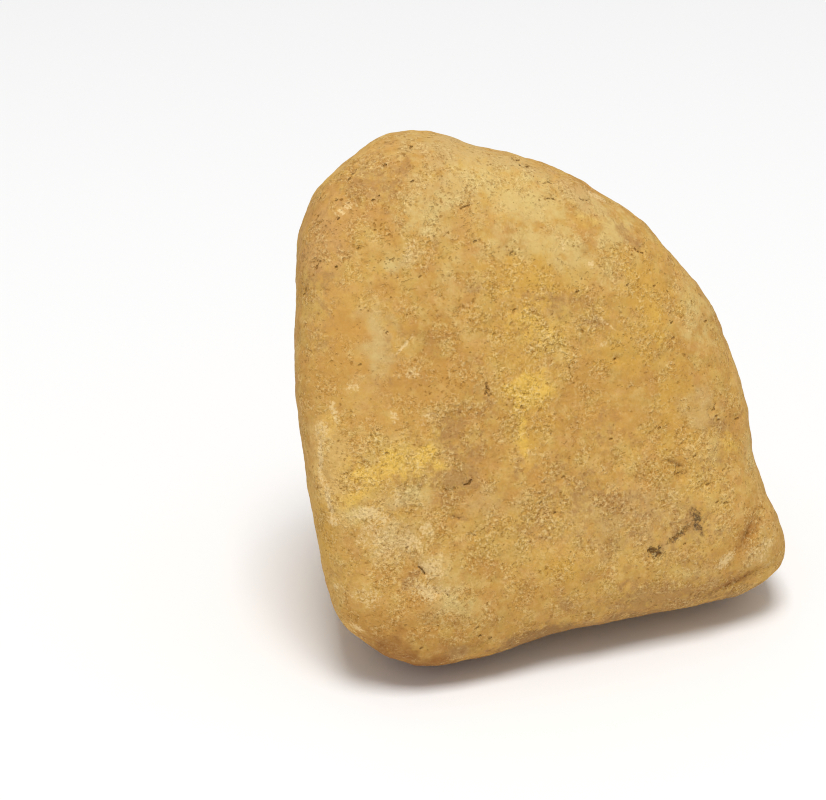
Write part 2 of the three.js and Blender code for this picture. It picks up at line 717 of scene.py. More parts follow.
@dataclass(frozen=True)
class Rock:
    """The stone: its refined mesh, the relief of its skin and the weights of its marks."""

    sight: Sight
    stains: dict[Side, StainsByMark]
    dents: dict[Side, tuple[Dent, ...]]
    node: str = "rock"
    slot: str = "sandstone"
    name: str = "sandstone_rock"
    refinements: int = 2
    weld: float = 0.01
    smoothing: float = 0.5
    fine_width: float = 1.5
    fine_reaches: tuple[float, ...] = (3.0, 1.6)
    rest_height: float = 4.0
    # The painted contact shade at the foot: how high it reaches and how strong it is.
    foot_height: float = 20.0
    foot_shade: float = 1.1
    rim_wrap: float = 0.3
    drift: float = 0.8
    drift_length: float = 9.0
    drift_starts: tuple[float, ...] = (0.0, 37.0, 71.0)
    drift_fade: float = 0.8
    drift_split: float = 2.0
    drift_layers: int = 4
    lumps: tuple[Lump, ...] = (
        Lump(18.0, 0.55, (11.0, 3.0)),
        Lump(7.0, 0.42, (5.0, 29.0)),
        Lump(2.8, 0.25, (41.0, 13.0)),
    )
    scatter: Scatter = Scatter(seed=11, count=420, radius=(1.2, 2.6), depth=(0.25, 0.8), dark=0.3)

    def build(self) -> bpy.types.Object:
        """Makes the stone.

        Returns:
            The finished object.
        """
        mesh = self._refined_mesh()
        skin = self._skin(mesh)
        inward, pits = self._hollows(skin)
        fade = smooth_step(skin.points[:, 2], 0.0, self.rest_height)
        raised = (self._lump_heights(skin.points) - inward) * fade
        points = skin.points + skin.normals * raised[:, None]
        points[:, 2] = np.maximum(points[:, 2], 0.0)
        mesh.vertices.foreach_set("co", (points * MM).ravel())
        for mark, weights in self._weights(replace(skin, points=points), pits).items():
            attribute = mesh.attributes.new(mark.value, "FLOAT", "POINT")
            attribute.data.foreach_set("value", weights.astype(np.float32))
        mesh.shade_smooth()
        mesh.update()
        stone = bpy.data.objects.new(self.name, mesh)
        bpy.context.scene.collection.objects.link(stone)
        return stone

    def dress(self, stone: bpy.types.Object, finish: Sandstone) -> None:
        """Gives the stone its finish and its place in the frame.

        Args:
            stone: The stone's object.
            finish: Its finish.
        """
        stone.data.materials.append(finish.material(self.sight))
        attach(stone, "root")
        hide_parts(self.node)

    def _refined_mesh(self) -> bpy.types.Mesh:
        """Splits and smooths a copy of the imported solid, and splits it further beside narrow dents.

        Returns:
            The refined mesh.
        """
        shape = bmesh.new()
        shape.from_mesh(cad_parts[self.node].data)
        bmesh.ops.remove_doubles(shape, verts=shape.verts, dist=self.weld * MM)
        ways = {"use_axis_x": True, "use_axis_y": True, "use_axis_z": True}
        for _ in range(self.refinements):
            bmesh.ops.subdivide_edges(shape, edges=shape.edges, cuts=1, use_grid_fill=True)
            bmesh.ops.smooth_vert(shape, verts=shape.verts, factor=self.smoothing, **ways)
        for reach in self.fine_reaches:
            bmesh.ops.subdivide_edges(shape, edges=self._dented_edges(shape, reach), cuts=1)
            bmesh.ops.triangulate(shape, faces=shape.faces)
        mesh = bpy.data.meshes.new(self.name)
        shape.to_mesh(mesh)
        shape.free()
        return mesh

    def _dented_edges(self, shape: bmesh.types.BMesh, reach: float) -> list[bmesh.types.BMEdge]:
        """Finds the edges beside narrow dents.

        Args:
            shape: The stone's mesh.
            reach: How far from a dent's path an edge may be.

        Returns:
            The edges.
        """
        shape.normal_update()
        shape.verts.index_update()
        shown = self.sight.shown(np.array([corner.co for corner in shape.verts]) / MM)
        facing = np.array([corner.normal for corner in shape.verts]) @ self.sight.towards
        near = np.zeros(len(shown), dtype=bool)
        for side, dents in self.dents.items():
            for dent in dents:
                if dent.width < self.fine_width:
                    near |= (self._path_distance(shown, dent.path) < reach) & (facing * side.value > 0)
        return [edge for edge in shape.edges if all(near[corner.index] for corner in edge.verts)]

    def _skin(self, mesh: bpy.types.Mesh) -> Skin:
        """Reads the mesh's corners.

        Args:
            mesh: The mesh.

        Returns:
            The corners, in millimetres.
        """
        places = np.empty(len(mesh.vertices) * 3)
        normals = np.empty(len(mesh.vertices) * 3)
        mesh.vertices.foreach_get("co", places)
        mesh.vertex_normals.foreach_get("vector", normals)
        points = places.reshape(-1, 3) / MM
        normals = normals.reshape(-1, 3)
        return Skin(points, normals, self.sight.shown(points), normals @ self.sight.towards)

    def _lump_heights(self, points: Points) -> Points:
        """Works out the uneven wear.

        Args:
            points: The skin's corners.

        Returns:
            How far each one stands out.
        """
        heights = np.zeros(len(points))
        for lump in self.lumps:
            start = Vector((*lump.start, 0.0))
            scaled = points / lump.length
            heights += lump.height * np.array([noise.noise(Vector(place) + start) for place in scaled])
        return heights

    def _hollows(self, skin: Skin) -> tuple[Points, Points]:
        """Works out the dents, the placed ones and the scattered ones.

        Args:
            skin: The skin before it is dented.

        Returns:
            How far each corner goes in, and how much shade is painted on each one for lying in a pit.
        """
        inward = np.zeros(len(skin.points))
        pits = np.zeros(len(skin.points))
        for side, dents in self.dents.items():
            seen = smooth_step(skin.facing * side.value, -self.rim_wrap, 0.0)
            for dent in dents:
                log.debug("dent on the %s: %s", side.name.lower(), dent.name)
                away = self._path_distance(skin.shown, dent.path) / dent.width
                share = np.exp(-away * away) * seen
                inward += share * dent.depth
                pits = np.maximum(pits, share * dent.dark)
        chance = np.random.default_rng(self.scatter.seed)
        for middle in chance.choice(len(skin.points), self.scatter.count, replace=False):
            radius = chance.uniform(*self.scatter.radius)
            depth = chance.uniform(*self.scatter.depth)
            away = np.linalg.norm(skin.points - skin.points[middle], axis=1) / radius
            share = np.exp(-away * away)
            inward += share * depth
            pits = np.maximum(pits, share * depth * self.scatter.dark)
        return inward, pits

    @staticmethod
    def _path_distance(shown: Points, path: tuple[Place, ...]) -> Points:
        """Measures how far places are from a path.

        Args:
            shown: The places.
            path: The points of the path, one or more.

        Returns:
            The distance from each place to the nearest point of the path.
        """
        stops = np.array(path)
        nearest = np.linalg.norm(shown - stops[0], axis=1)
        for start, end in zip(stops, stops[1:]):
            along = np.clip((shown - start) @ (end - start) / np.sum((end - start) ** 2), 0, 1)
            foot = start + along[:, None] * (end - start)
            nearest = np.minimum(nearest, np.linalg.norm(shown - foot, axis=1))
        return nearest

    def _drifts(self, points: Points) -> Points:
        """Works out by chance which way and how far each corner's marks are out of place.

        Args:
            points: The skin's corners.

        Returns:
            One vector a row, mostly shorter than 1.
        """
        fractal = (self.drift_fade, self.drift_split, self.drift_layers)
        drifts = np.empty_like(points)
        for axis, start in enumerate(self.drift_starts):
            scaled = points / self.drift_length + start
            drifts[:, axis] = [noise.fractal(Vector(place), *fractal) for place in scaled]
        return drifts

    def _weights(self, skin: Skin, pits: Points) -> dict[Mark, Points]:
        """Weighs each mark at each corner of the skin.

        Args:
            skin: The dented skin.
            pits: How much shade is painted on each corner for lying in a pit.

        Returns:
            The weights of each mark, from 0 up to the strength of its stains.
        """
        weights = {mark: np.zeros(len(skin.points)) for mark in Mark}
        weights[Mark.PIT] = pits
        # Painted contact shade: darker towards the bottom, in full where the stone meets the floor.
        weights[Mark.CONTACT_SHADE] = self.foot_shade * smooth_step(-skin.points[:, 2], -self.foot_height, 0.0)
        drifts = self._drifts(skin.points)
        for side, stains_by_mark in self.stains.items():
            for mark, stains in stains_by_mark.items():
                for stain in stains:
                    log.debug("%s on the %s: %s", mark.value, side.name.lower(), stain.name)
                    weight = self._stain_weight(stain, side, skin, drifts)
                    weights[mark] = np.maximum(weights[mark], weight)
        return weights

    def _stain_weight(self, stain: Stain, side: Side, skin: Skin, drifts: Points) -> Points:
        """Weighs one stain at each corner of the skin.

        Args:
            stain: The stain.
            side: The half of the stone that its middle is on.
            skin: The dented skin.
            drifts: How far each corner's marks are out of place.

        Returns:
            The weights.
        """
        miss = np.linalg.norm(skin.shown - stain.at, axis=1)
        middle = np.argmin(np.where(skin.facing * side.value > 0, miss, np.inf))
        half_long, half_cross = stain.half_size
        drift = self.drift * min(stain.half_size)
        offset = skin.points - skin.points[middle] + drift * (drifts - drifts[middle])
        away = (
            (offset @ self.sight.across(stain.turn_degrees) / half_long) ** 2
            + (offset @ self.sight.across(stain.turn_degrees + 90.0) / half_cross) ** 2
            + (offset @ self.sight.towards / max(stain.half_size)) ** 2
        )
        return stain.strength * np.exp(-away)


@dataclass(frozen=True)
class FloorPaint:
    """The floor's finish: plain pale matt paint."""

    name: str = "pale_floor"
    colour: Colour = (0.96, 0.96, 0.96, 1.0)
    roughness: float = 0.9
    specular: float = 0.1

    def material(self) -> bpy.types.Material:
        """Builds the material.

        Returns:
            The finished material.
        """
        tree = ShaderTree(self.name)
        sockets = {
            "Base Color": self.colour,
            "Roughness": self.roughness,
            "Specular IOR Level": self.specular,
        }
        shader = tree.node("ShaderNodeBsdfPrincipled", {}, sockets)
        tree.node("ShaderNodeOutputMaterial", {}, {"Surface": shader})
        return tree.material


@dataclass(frozen=True)
class Studio:
    """The pale floor, the soft light that points at the stone, and the camera."""

    sight: Sight
    paint: FloorPaint = FloorPaint()
    floor_size: float = 6000.0
    sky_colour: Colour = (1.0, 1.0, 1.0, 1.0)
    sky_strength: float = 0.45
    light_place: tuple[float, float, float] = (0.0, -900.0, 3400.0)
    light_size: float = 1300.0
    light_watts: float = 82.5
    pixel_filter: float = 1.1

    def build(self) -> None:
        """Makes the floor, the sky, the light and the camera."""
        self._floor()
        self._sky()
        self._light()
        self._camera()

    def _floor(self) -> None:
        """Lays the floor."""
        shape = bmesh.new()
        bmesh.ops.create_grid(shape, x_segments=1, y_segments=1, size=self.floor_size * MM / 2)
        mesh = bpy.data.meshes.new("floor")
        shape.to_mesh(mesh)
        shape.free()
        mesh.materials.append(self.paint.material())
        floor = bpy.data.objects.new("floor", mesh)
        bpy.context.scene.collection.objects.link(floor)

    def _sky(self) -> None:
        """Fills the room with even light."""
        world = bpy.data.worlds.new("studio")
        world.use_nodes = True
        world.node_tree.nodes["Background"].inputs["Color"].default_value = self.sky_colour
        world.node_tree.nodes["Background"].inputs["Strength"].default_value = self.sky_strength
        bpy.context.scene.world = world

    def _light(self) -> None:
        """Hangs the light."""
        lamp = bpy.data.lights.new("key_light", "AREA")
        lamp.size = self.light_size * MM
        lamp.energy = self.light_watts
        holder = bpy.data.objects.new("key_light", lamp)
        holder.location = Vector(self.light_place) * MM
        aim = Vector(self.sight.core) * MM - holder.location
        holder.rotation_euler = aim.to_track_quat("-Z", "Y").to_euler()
        bpy.context.scene.collection.objects.link(holder)

    def _camera(self) -> None:
        """Sets the camera on the line of sight."""
        lens = bpy.data.cameras.new("camera")
        lens.sensor_width = self.sight.sensor
        lens.lens = self.sight.lens
        camera = bpy.data.objects.new("camera", lens)
        turn = Matrix((self.sight.right, self.sight.up, self.sight.towards)).transposed()
        camera.matrix_world = Matrix.Translation(Vector(self.sight.eye) * MM) @ turn.to_4x4()
        bpy.context.scene.collection.objects.link(camera)
        bpy.context.scene.camera = camera
        bpy.context.scene.view_settings.view_transform = "Standard"
        bpy.context.scene.cycles.filter_width = self.pixel_filter


FRONT_STAINS: StainsByMark = {
    Mark.BUFF: (
        Stain("crown", (-30, 90), (20, 15), 0.8),
        Stain("top", (-28, 102), (28, 8)),
        Stain("patch below the crown", (-46, 58), (7, 3.5), 0.9, 20),
        Stain("pillar", (-58, 21), (7, 14)),
        Stain("crest", (-2, 96), (18, 5), 1.0, -12),
        Stain("crest at the shoulder", (26, 84), (16, 5), 1.0, -30),
        Stain("chin", (-31, -82), (9, 5), 0.8),
        Stain("right", (71, 4), (8, 11), 0.7),
        Stain("upper left", (-56, 93), (14, 13), 0.35),
        Stain("cast at the lower right", (50, -47), (36, 17), 0.5),
        Stain("belly", (-53, -52), (13, 11), 0.9),
        Stain("scuff on the belly", (-48, -39), (9, 5), 0.9),
        Stain("low middle", (-12, -42), (9, 6), 0.6),
        Stain("toe", (98, -58), (8, 9), 0.6),
        Stain("spot under the chin", (-24.5, -98), (4, 3), 1.2),
    ),
    Mark.STRAW: (
        Stain("core of the pillar", (-59, 19), (5, 11), 0.5),
        Stain("below the mustard", (-43, -33.5), (8.5, 5.5), 0.8),
        Stain("shoulder", (6, 81), (16, 10)),
        Stain("brow", (-16, 91), (16, 9), 0.7),
        Stain("saddle", (-36, 75), (14, 6), 0.7),
        Stain("yellow streak", (-28, 81.5), (7, 1.6), 0.9, -8),
        Stain("below the brow", (12, 65), (28, 9), 0.9, -10),
        # Partly a straw tint and partly painted light: the slope at the upper right paler, where it faces
        # up into the light.
        Stain("upper right", (36, 71), (15, 10), 0.9, -35),
        Stain("right shoulder", (68, 38), (17, 9), 0.7, -62),
        Stain("right flank", (92, -20), (6, 10), 0.6),
        Stain("side of the crown", (-30, 55), (10, 10), 0.5),
        Stain("flecks under the crown", (-52, 56), (5, 6), 0.7),
        Stain("belly", (-66, -44), (9, 5)),
        Stain("middle", (-30, -22), (5, 8), 0.35, -20),
        Stain("blot low in the middle", (2, -38), (6, 4), 0.6, 30),
        Stain("chin", (-28, -79), (13, 7), 0.8, -40),
        Stain("low belly", (-33, -61), (9, 6), 0.6),
        Stain("ledge at the right", (68, -68), (11, 2.5), 0.6),
        Stain("blob at the right", (78, -16), (3, 5), 0.6),
    ),
    Mark.CREAM: (
        Stain("left flank", (-79, -20), (8, 18), 0.9),
        Stain("lower left flank", (-75, -33), (8, 9)),
        Stain("above the mustard", (-51, -13.5), (4.5, 3.5), 0.8),
        Stain("tail of the mustard", (-73, -28), (5, 4), 0.8),
        Stain("below the tail", (-71, -45), (4.5, 4), 0.8),
        Stain("beside the middle pit", (-17, 14), (4, 3.5), 0.7),
    ),
    Mark.ROSE: (
        Stain("foot of the pillar", (-57, 2), (9, 14), 0.5),
        Stain("upper edge", (18, 90), (20, 3), 0.4, -28),
        Stain("left flank", (-77, 66), (10, 22), 0.8),
        Stain("lower left", (-74, -60), (8, 20), 0.4),
    ),
    Mark.RUST: (
        Stain("upper spot", (-54, 66), (8, 3.5), 0.6, 15),
        Stain("fleck", (-56, 46), (5, 4), 0.9),
        Stain("left of the pillar", (-70, 27), (8, 20), 1.1),
        Stain("above the smudge", (-40, 3), (12, 8), 0.9),
        Stain("below the heart", (6, -30), (13, 14), 0.75),
        Stain("rim at the lower left", (-77, -74), (5, 11), 0.8),
        Stain("stripe", (-21, 74), (4, 9), 0.7),
        Stain("heart of the bloom", (2, 46), (8, 5), 0.7),
        Stain("middle", (-31, 12), (12, 7), 0.9),
        Stain("beside the pillar", (-48, 13), (7, 8)),
        Stain("left flank", (-78, 6), (9, 16), 0.8),
        Stain("right of the middle", (28, 8), (11, 14), 0.9),
        Stain("left of the heart", (-12.5, 2), (7, 7.5), 0.65),
        Stain("over the heart", (6, 14.5), (8, 3.5), 0.6),
        Stain("low right of the heart", (15, -31), (4.5, 4.5), 0.7),
        Stain("dell right of the heart", (31, -3), (9, 6), 0.65),
        Stain("above the mustard", (-38, -8.5), (5, 6), 0.7),
        Stain("right of the dell", (43, -6), (9, 10), 0.65),
        Stain("below the pillar", (-62, -6), (13, 8), 0.7),
        Stain("lower left", (-54, -90), (22, 9)),
        Stain("fleck at the right", (66, -9), (7, 2.5), 0.8),
        Stain("low belly", (-53, -68), (16, 7), 0.7),
        Stain("chin", (-42, -80), (12, 5), 0.9),
        Stain("at the toe", (90, -56), (4, 12), 1.1, -25),
    ),
    Mark.HONEY: (
        Stain("bloom", (6, 54), (22, 9)),
        Stain("lower left flank", (-78, -54), (8, 14), 0.9),
        Stain("below the heart", (8, -8), (12, 9), 0.7),
        Stain("upper right", (51, 42), (10, 20), 1.0, 25),
        Stain("band at the right", (58, 0), (9, 22), 0.8),
        Stain("middle", (-6, 28), (12, 16), 0.6),
        Stain("right of the heart", (37, 20), (11, 12), 0.8),
        Stain("smear", (19, -65), (11, 7), 0.9, 5),
    ),
    Mark.PLUM: (
        Stain("crown spot", (-46, 94.5), (5, 4), 0.7, 35),
        # Painted shade: the left edge and the upper left darker, on the side turned from the light.
        Stain("left edge", (-77, 50), (9, 40), 0.52),
        Stain("upper left", (-64, 90), (14, 17), 0.75),
        Stain("cast at the lower right", (47, -42), (40, 17), 0.45),
        Stain("beside the pillar", (-51, 19), (4, 9), 0.4),
        Stain("foot of the pillar", (-54, 9), (14, 9), 0.35),
        Stain("beside the middle pit", (-12, 0), (4, 6), 0.6),
        Stain("below the streak", (-1, -27), (8, 7), 0.5),
        Stain("crumb", (-19, -24.5), (4, 3.5), 0.7),
        Stain("right of the heart", (32, -3), (9, 7), 0.45),
        Stain("above the curl", (-20, -21), (8, 7), 0.7),
        Stain("in the sand", (23, -40), (13, 9), 0.8),
        Stain("below the sand", (8, -46), (9, 7), 0.55),
        Stain("right of the seam", (76, -48), (9, 7), 0.5),
        Stain("above the seam", (77, -24), (6, 9), 0.45),
        # Painted shade along the low edge, above the floor.
        Stain("under the hollow", (10, -92), (18, 5), 1.2, 14),
        Stain("smudge", (-27, -10), (10, 7), 0.85, 35),
        Stain("low middle", (14, -34), (12, 12), 0.5),
        # Painted shade: the lower right and the lip darker, away from the light.
        Stain("lower right", (60, -77), (38, 8), 0.9, 8),
        Stain("above the lip", (74, -62), (20, 8), 0.45),
        Stain("shadow", (-24, -29), (10, 8), 1.1, -15),
        Stain("grains", (-40, -29), (9, 7), 0.6),
        Stain("smear", (-25, -45), (6, 1.5), 0.6, -12),
        Stain("under the bloom", (10, 41), (15, 5), 0.7),
        Stain("left of the bloom", (-18, 46), (5, 3), 0.8),
        Stain("beside the heart", (30, 33), (6, 5), 0.7),
        Stain("low right", (38, -42), (16, 5), 0.8, -15),
        Stain("spot low right", (51, -45), (6, 4), 0.8),
        Stain("seam cloud", (69, -48), (6, 9), 1.0, 10),
        Stain("trail at the right", (82, -8), (9, 3), 0.8, -45),
        Stain("at the shoulder", (41, 69), (10, 3), 0.7, -35),
        # Painted shade along the lower lip.
        Stain("lower lip", (34, -86), (30, 4.5), 1.2, 9),
        Stain("blot at the lip", (18, -80), (4, 3)),
        Stain("dot on the belly", (-45, -71), (4, 3), 1.2),
    ),
    # Painted contact shade along the lower edge, where the stone meets the floor.
    Mark.CONTACT_SHADE: (
        Stain("in the hollow", (8, -97), (26, 5), 1.0, 14),
        Stain("on the lower edge", (46, -90), (26, 4), 0.8, 9),
        Stain("under the toe", (86, -84), (18, 4), 0.8, 14),
        Stain("lower lip", (52, -84), (52, 5), 0.5, 12),
    ),
    Mark.UMBER: (
        Stain("toe groove", (91, -52), (2.5, 8), 0.7, -25),
        # Painted shade: the underside of the chin darker, where it meets the floor.
        Stain("chin", (-46, -107), (36, 12), 1.1, -6),
        Stain("toe crease", (91.5, -56), (5, 6), 0.4),
        Stain("toe edge", (88, -70.5), (12, 1.8), 0.8, 28),
        Stain("speck at the right", (62.5, -23.5), (4, 1.5), 0.6, -15),
    ),
    Mark.MUSTARD: (
        Stain("shoulder", (30, 73), (14, 6), 0.28, -20),
        Stain("heart", (6, 31), (12, 15), 0.5),
        Stain("foot of the heart", (1.5, 3.5), (10.5, 7), 1.2),
        Stain("streak", (0.6, -13), (2, 11), 0.8, 12),
        Stain("bright patch", (-38, -19.5), (5, 5), 1.1, -20),
        Stain("middle", (-53, -24), (8.5, 5.5), 1.0, 15),
        Stain("right end", (-32.5, -24), (3.5, 3), 0.8),
        Stain("cast", (-51, -24), (22, 10), 0.45, 12),
        Stain("left end", (-64, -28), (8, 5), 0.75),
        Stain("tail", (-66, -35), (10, 4), 0.7, 30),
        Stain("left flank", (-75, -6), (7, 6), 0.45),
        Stain("right", (54, 30), (8, 11), 0.28),
        Stain("speck at the right", (84, -17), (4, 3.5), 0.65),
        Stain("low right", (70, -31), (9, 6), 0.3),
    ),
    Mark.CHALK: (
        Stain("scuff at the upper left", (-70, 78), (4, 1.6), 0.75, 35),
        Stain("grains under the crown", (-44, 61), (3, 5), 0.45, -30),
        Stain("scratch", (-46, 24), (4.4, 0.5), 1.2, 50),
        Stain("blob", (-42, 13.6), (2.6, 2.6), 0.5),
        Stain("at the pillar's foot", (-68, 7), (4, 2.5), 0.5),
        Stain("grains by the smudge", (-36, -4), (6, 4), 0.4),
        Stain("tick", (-75, -3), (1.3, 4), 1.2, 20),
        Stain("dab", (-50, -4), (1.2, 3), 0.8, 20),
        Stain("at the left edge", (-80, -10), (3, 5), 0.6),
        Stain("streak", (-80, -22), (0.9, 9), 1.3),
        Stain("streak's tail", (-77, -38), (0.9, 7), 1.25, 14),
        Stain("streak's end", (-74.5, -47), (2.5, 2), 0.8),
        Stain("tick on the belly", (-48, -36), (1.2, 4), 0.8),
        Stain("ledge", (-59, -42.5), (7, 2.5)),
        Stain("dab on the ledge", (-55.5, -45.5), (4, 2)),
        Stain("grains on the belly", (-55, -53), (11, 9), 0.55),
        Stain("beside the grains", (-45, -55), (5, 5), 0.8),
        Stain("dot", (-37, -48.5), (2.5, 2.5), 0.8),
        Stain("spot", (-35.5, -65), (5, 4.5)),
        Stain("foot", (-36, -77), (8, 3), 0.9, -10),
        Stain("grains at the lower left", (-61, -78), (7, 5), 0.45),
        Stain("fleck at the lower left", (-73.5, -73), (1.5, 2)),
        Stain("fleck on the chin", (-66, -89), (3, 1.2), 1.0, -35),
        Stain("fleck at the upper edge", (30.5, 84), (4.5, 1.4), 1.0, -20),
        Stain("fleck on the shoulder", (28.5, 56), (2.2, 1.6)),
        Stain("fleck above it", (16.5, 63.5), (1.4, 1), 0.7),
        Stain("fleck by the heart", (32.5, 34.5), (1.8, 1.1), 0.8, -30),
        Stain("scratch by the heart", (36, 31.8), (3.4, 0.5), 0.65, -38),
        Stain("fleck below it", (33, 24.5), (1.3, 1.2), 0.7),
        Stain("fleck at the right", (60.5, 16.5), (1.6, 1.3), 0.5),
        Stain("scuff at the toe", (83, -62), (5, 2), 0.9, 45),
        Stain("scuff beside it", (79.5, -63.5), (2.5, 1.5), 0.7, 30),
        Stain("grains at the toe", (98, -59), (8, 7), 0.4),
    ),
    Mark.MANGANESE: (
        Stain("blot", (54, -59.4), (5, 3.4), 0.85),
        Stain("seam", (64.5, -51.5), (6, 1.8), 0.6, 38),
        Stain("cloud", (70.6, -46.5), (3.2, 6), 0.7),
        Stain("speck in the middle", (-13, 5), (1.6, 3), 0.4),
        Stain("curl", (-21, -30.5), (2.5, 1.2), 0.5, 20),
    ),
    Mark.POROUS: (
        Stain("upper left", (-50, 68), (42, 40)),
        Stain("shoulder", (50, 45), (30, 30), 0.2),
    ),
    Mark.SANDY: (
        Stain("heart", (4, 22), (16, 24), 1.1),
        Stain("middle", (9, -31), (9, 9), 0.7),
        Stain("left of the middle", (-46, -19), (24, 13), 1.1),
        Stain("low middle", (14, -47), (14, 17)),
        Stain("belly", (-42, -45), (34, 30), 0.6),
        Stain("right", (48, -18), (20, 22), 0.6),
    ),
    Mark.SMOOTH: (
        Stain("pillar", (-58, 21), (7, 14)),
        Stain("foot of the pillar", (-57, 0), (9, 11)),
        Stain("left of the pillar", (-76, 24), (8, 12), 0.7),
        Stain("beside the scratch", (-44, 30), (7, 9), 0.8),
        Stain("brow", (-6, 70), (16, 7), 0.8),
        Stain("upper right", (24, 72), (16, 7), 0.7),
        Stain("middle", (38, -3), (14, 11), 0.7),
        Stain("right flank", (76, 20), (8, 15), 0.7),
        Stain("chin", (-50, -97), (17, 6), 0.9),
    ),
}

BACK_STAINS: StainsByMark = {
    Mark.BUFF: (
        Stain("upper middle", (-22, 44), (26, 17), 0.72, 15),
        Stain("low right", (42, -12), (21, 11.5), 0.64, -20),
        Stain("spot", (-62, 70), (11.5, 8), 0.72),
        Stain("left side", (-84, 64), (11.5, 15.5), 0.64),
        Stain("right side", (84, 8), (13, 18), 0.64),
    ),
    Mark.STRAW: (
        Stain("brow", (8, 72), (28.5, 10.5), 0.64, -15),
        Stain("flank", (-64, 12), (13, 22), 0.56),
        Stain("blot", (18, 2), (15.5, 9), 0.64, 25),
        Stain("streak", (-36, 22), (18, 3), 0.64, 10),
        Stain("left side", (-83, -14), (13, 18), 0.64),
        Stain("right side", (92, -24), (13, 13), 0.72),
    ),
    Mark.ROSE: (
        Stain("edge", (66, 24), (9, 22), 0.7),
        Stain("crown", (-48, 92), (16, 8), 0.7),
    ),
    Mark.RUST: (
        Stain("bloom", (30, 34), (17, 11), 1.0, 20),
        Stain("low left", (-34, -18), (19, 9), 0.9, 5),
        Stain("fleck", (-4, 20), (6, 4), 0.9),
        Stain("crown", (-44, 80), (10, 5), 0.8, 20),
        Stain("flank", (76, 2), (8, 12), 0.8),
        Stain("left side", (-83, 26), (10, 15), 0.9),
        Stain("right side", (88, -6), (9, 9), 0.9),
    ),
    Mark.HONEY: (
        Stain("left side", (-78, -34), (14, 9), 0.9),
        Stain("right side", (70, 40), (12, 12), 0.9, -40),
    ),
    Mark.PLUM: (
        Stain("middle", (-8, -6), (15, 7), 0.8, -10),
        Stain("shoulder", (44, 58), (12, 5), 0.7, -35),
        Stain("left", (-74, 42), (7, 18), 0.6),
        Stain("foot", (14, -32), (30, 6), 0.7),
        Stain("smudge", (-20, 68), (9, 5), 0.7, 25),
        Stain("foot of the left side", (-80, -50), (10, 9), 0.7),
        Stain("foot of the right side", (96, -58), (14, 8), 0.8),
    ),
    Mark.MUSTARD: (
        Stain("left", (-44, 2), (15.5, 9), 0.56, 15),
        Stain("streak", (12, 50), (3, 14.5), 0.56, -20),
        Stain("fleck", (54, 14), (8, 5), 0.56),
        Stain("left side", (-85, 6), (10.5, 9), 0.56),
        Stain("right side", (98, -42), (10.5, 8), 0.62),
    ),
    Mark.CHALK: (
        Stain("scuff", (-16, 56), (8, 2), 0.75, 20),
        Stain("dab", (37, 12), (3, 2), 0.68),
        Stain("grains", (-54, -10), (12.5, 9), 0.41),
        Stain("scratch", (6, 30), (7, 1), 0.83, 60),
        Stain("fleck", (58, 40), (2.5, 1.5), 0.75, -30),
        Stain("scuff on the left side", (-86, 40), (6, 2), 0.75, 40),
        Stain("grains on the left side", (-82, -4), (9, 8), 0.45),
        Stain("scuff on the right side", (95, -32), (6, 2), 0.75, 30),
    ),
    Mark.MANGANESE: (
        Stain("blot", (50, -2), (4.5, 3), 0.8),
        Stain("seam", (42, 5), (6, 1.6), 0.7, -35),
        Stain("speck", (-27, -4), (1.8, 2.6), 0.6),
        Stain("fleck on the right side", (86, 2), (2, 3), 0.7),
    ),
    Mark.POROUS: (
        Stain("left side", (-84, 50), (16, 24), 0.9),
        Stain("upper left", (-36, 62), (36, 32), 0.9),
    ),
    Mark.SANDY: (
        Stain("left side", (-84, 0), (14, 18), 0.8),
        Stain("right side", (92, -20), (14, 20), 0.8),
        Stain("middle", (14, 24), (22, 18), 0.8),
        Stain("foot", (-36, -14), (22, 14), 0.7),
    ),
    Mark.SMOOTH: (
        Stain("shoulder", (32, 68), (15, 9), 0.8, -25),
        Stain("flank", (-66, 14), (9, 13), 0.8),
        Stain("foot", (60, -10), (14, 9), 0.7),
    ),
}

